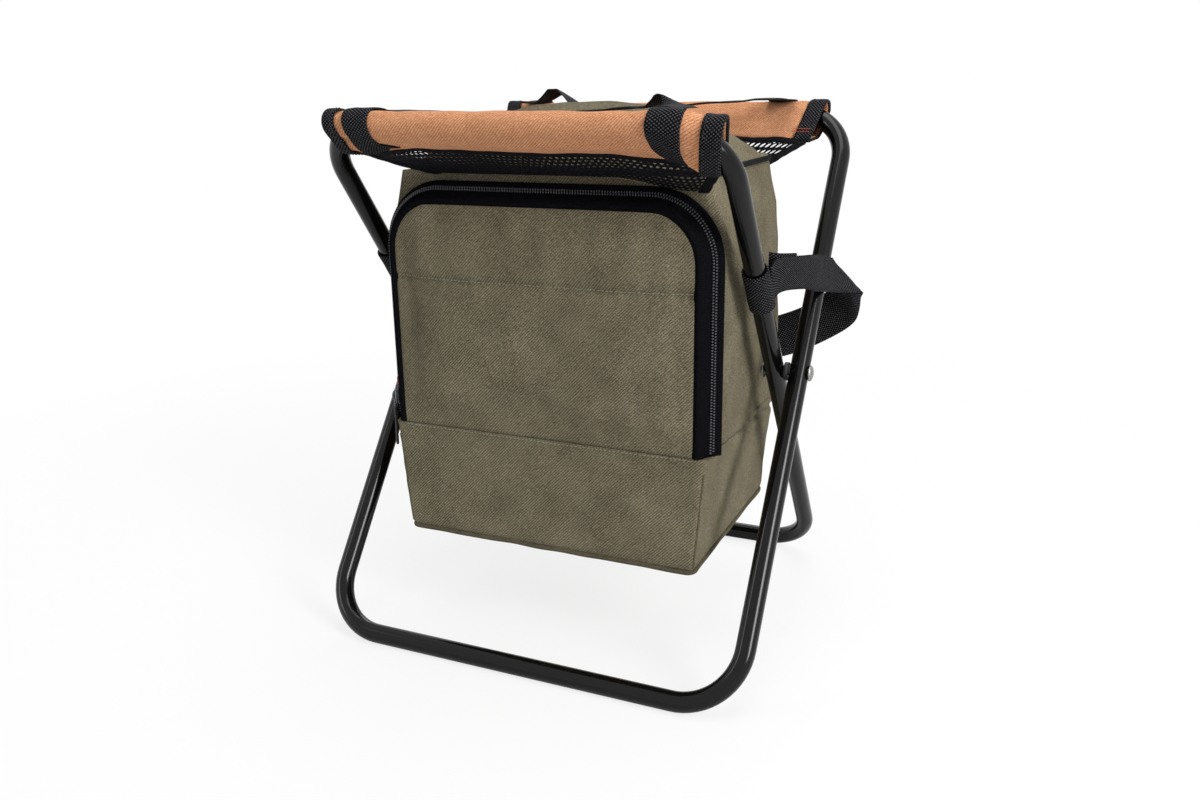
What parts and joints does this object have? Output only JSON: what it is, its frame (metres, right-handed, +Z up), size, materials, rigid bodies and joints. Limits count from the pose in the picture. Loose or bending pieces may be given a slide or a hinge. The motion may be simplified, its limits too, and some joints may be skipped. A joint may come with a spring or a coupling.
{
  "type": "folding cooler stool",
  "caption": "Folding stool of two crossed tube loops with an insulated, zip-fronted cooler bag hung under its fabric seat.",
  "frame": {"origin": "on the floor plane, midway between the two foot bars and midway between the legs", "axes": "+Z up, +X to the right of someone facing the front, -Y towards the front, where the bag opens"},
  "size_m": [0.41, 0.3396, 0.4354],
  "materials": {
    "tube_black": "gloss black powder coat",
    "sleeve_orange": "woven polyester, tan orange",
    "webbing_black": "ribbed polyester webbing",
    "net_black": "open knitted polyester net",
    "rivet_steel": "plated steel",
    "spacer_nylon": "moulded nylon",
    "bag_olive": "twill polyester, olive brown",
    "foam_white": "closed cell foam",
    "liner_silver": "foil faced sheet",
    "tab_coral": "folded woven tape",
    "zip_black": "zip tape with moulded coils",
    "slider_metal": "plated zinc",
    "pull_black": "cord with moulded end"
  },
  "bodies": {
    "cooler_bag": {"bag_shell": "bag_olive", "bag_insulation": "foam_white", "bag_liner": "liner_silver", "bag_piping": "bag_olive", "seat_lid": "bag_olive", "seam_tab": "tab_coral", "bag_zip_tape": "zip_black", "rear_mesh_panel": "net_black", "front_mesh_panel": "net_black", "rear_mesh_edge_left": "webbing_black", "rear_mesh_edge_right": "webbing_black", "front_mesh_edge_left": "webbing_black", "front_mesh_edge_right": "webbing_black"},
    "frame_outer": {"outer_tube": "tube_black", "rear_sleeve": "sleeve_orange", "rear_seam_tape": "webbing_black", "rear_carry_handle": "webbing_black", "rear_binding_left": "webbing_black", "rear_binding_right": "webbing_black", "pivot_rivet_left": "rivet_steel", "pivot_rivet_right": "rivet_steel", "pivot_washer_left": "rivet_steel", "pivot_washer_right": "rivet_steel"},
    "frame_inner": {"inner_tube": "tube_black", "front_sleeve": "sleeve_orange", "front_seam_tape": "webbing_black", "front_carry_handle": "webbing_black", "front_binding_left": "webbing_black", "front_binding_right": "webbing_black", "pivot_spacer_left": "spacer_nylon", "pivot_spacer_right": "spacer_nylon", "strap_loop_left": "webbing_black", "strap_loop_right": "webbing_black", "shoulder_strap": "webbing_black"},
    "door": {"door_panel": "bag_olive", "door_liner": "liner_silver", "door_zip_tape": "zip_black"},
    "slider": {"zip_slider": "slider_metal"},
    "pull": {"zip_pull": "pull_black"}
  },
  "joints": [
    {"name": "fold_outer", "type": "hinge", "parent": "cooler_bag", "child": "frame_outer", "pos_m": [0, 0, 0.22602], "axis": [1, 0, 0], "range_deg": [0, 33.4], "deforming": ["rear_mesh_panel", "rear_mesh_edge_left", "rear_mesh_edge_right", "rear_carry_handle"]},
    {"name": "fold_inner", "type": "hinge", "parent": "cooler_bag", "child": "frame_inner", "pos_m": [0, 0, 0.22602], "axis": [1, 0, 0], "range_deg": [-33.4, 0], "deforming": ["front_mesh_panel", "front_mesh_edge_left", "front_mesh_edge_right", "front_carry_handle", "shoulder_strap"]},
    {"name": "door_hinge", "type": "hinge", "parent": "cooler_bag", "child": "door", "pos_m": [0, -0.107, 0.18], "axis": [1, 0, 0], "range_deg": [0, 130]},
    {"name": "zip_slide", "type": "slide", "parent": "cooler_bag", "child": "slider", "axis": [0, 0, 1], "range_m": [0, 0.115]},
    {"name": "zip_pull_hinge", "type": "hinge", "parent": "slider", "child": "pull", "pos_m": [-0.14239, -0.09941, 0.1958], "axis": [-0.6055, 0.7958, 0], "range_deg": [0, 150]}
  ],
  "couplings": [
    {"joint": "fold_inner", "follows": "fold_outer", "ratio": -1}
  ]
}
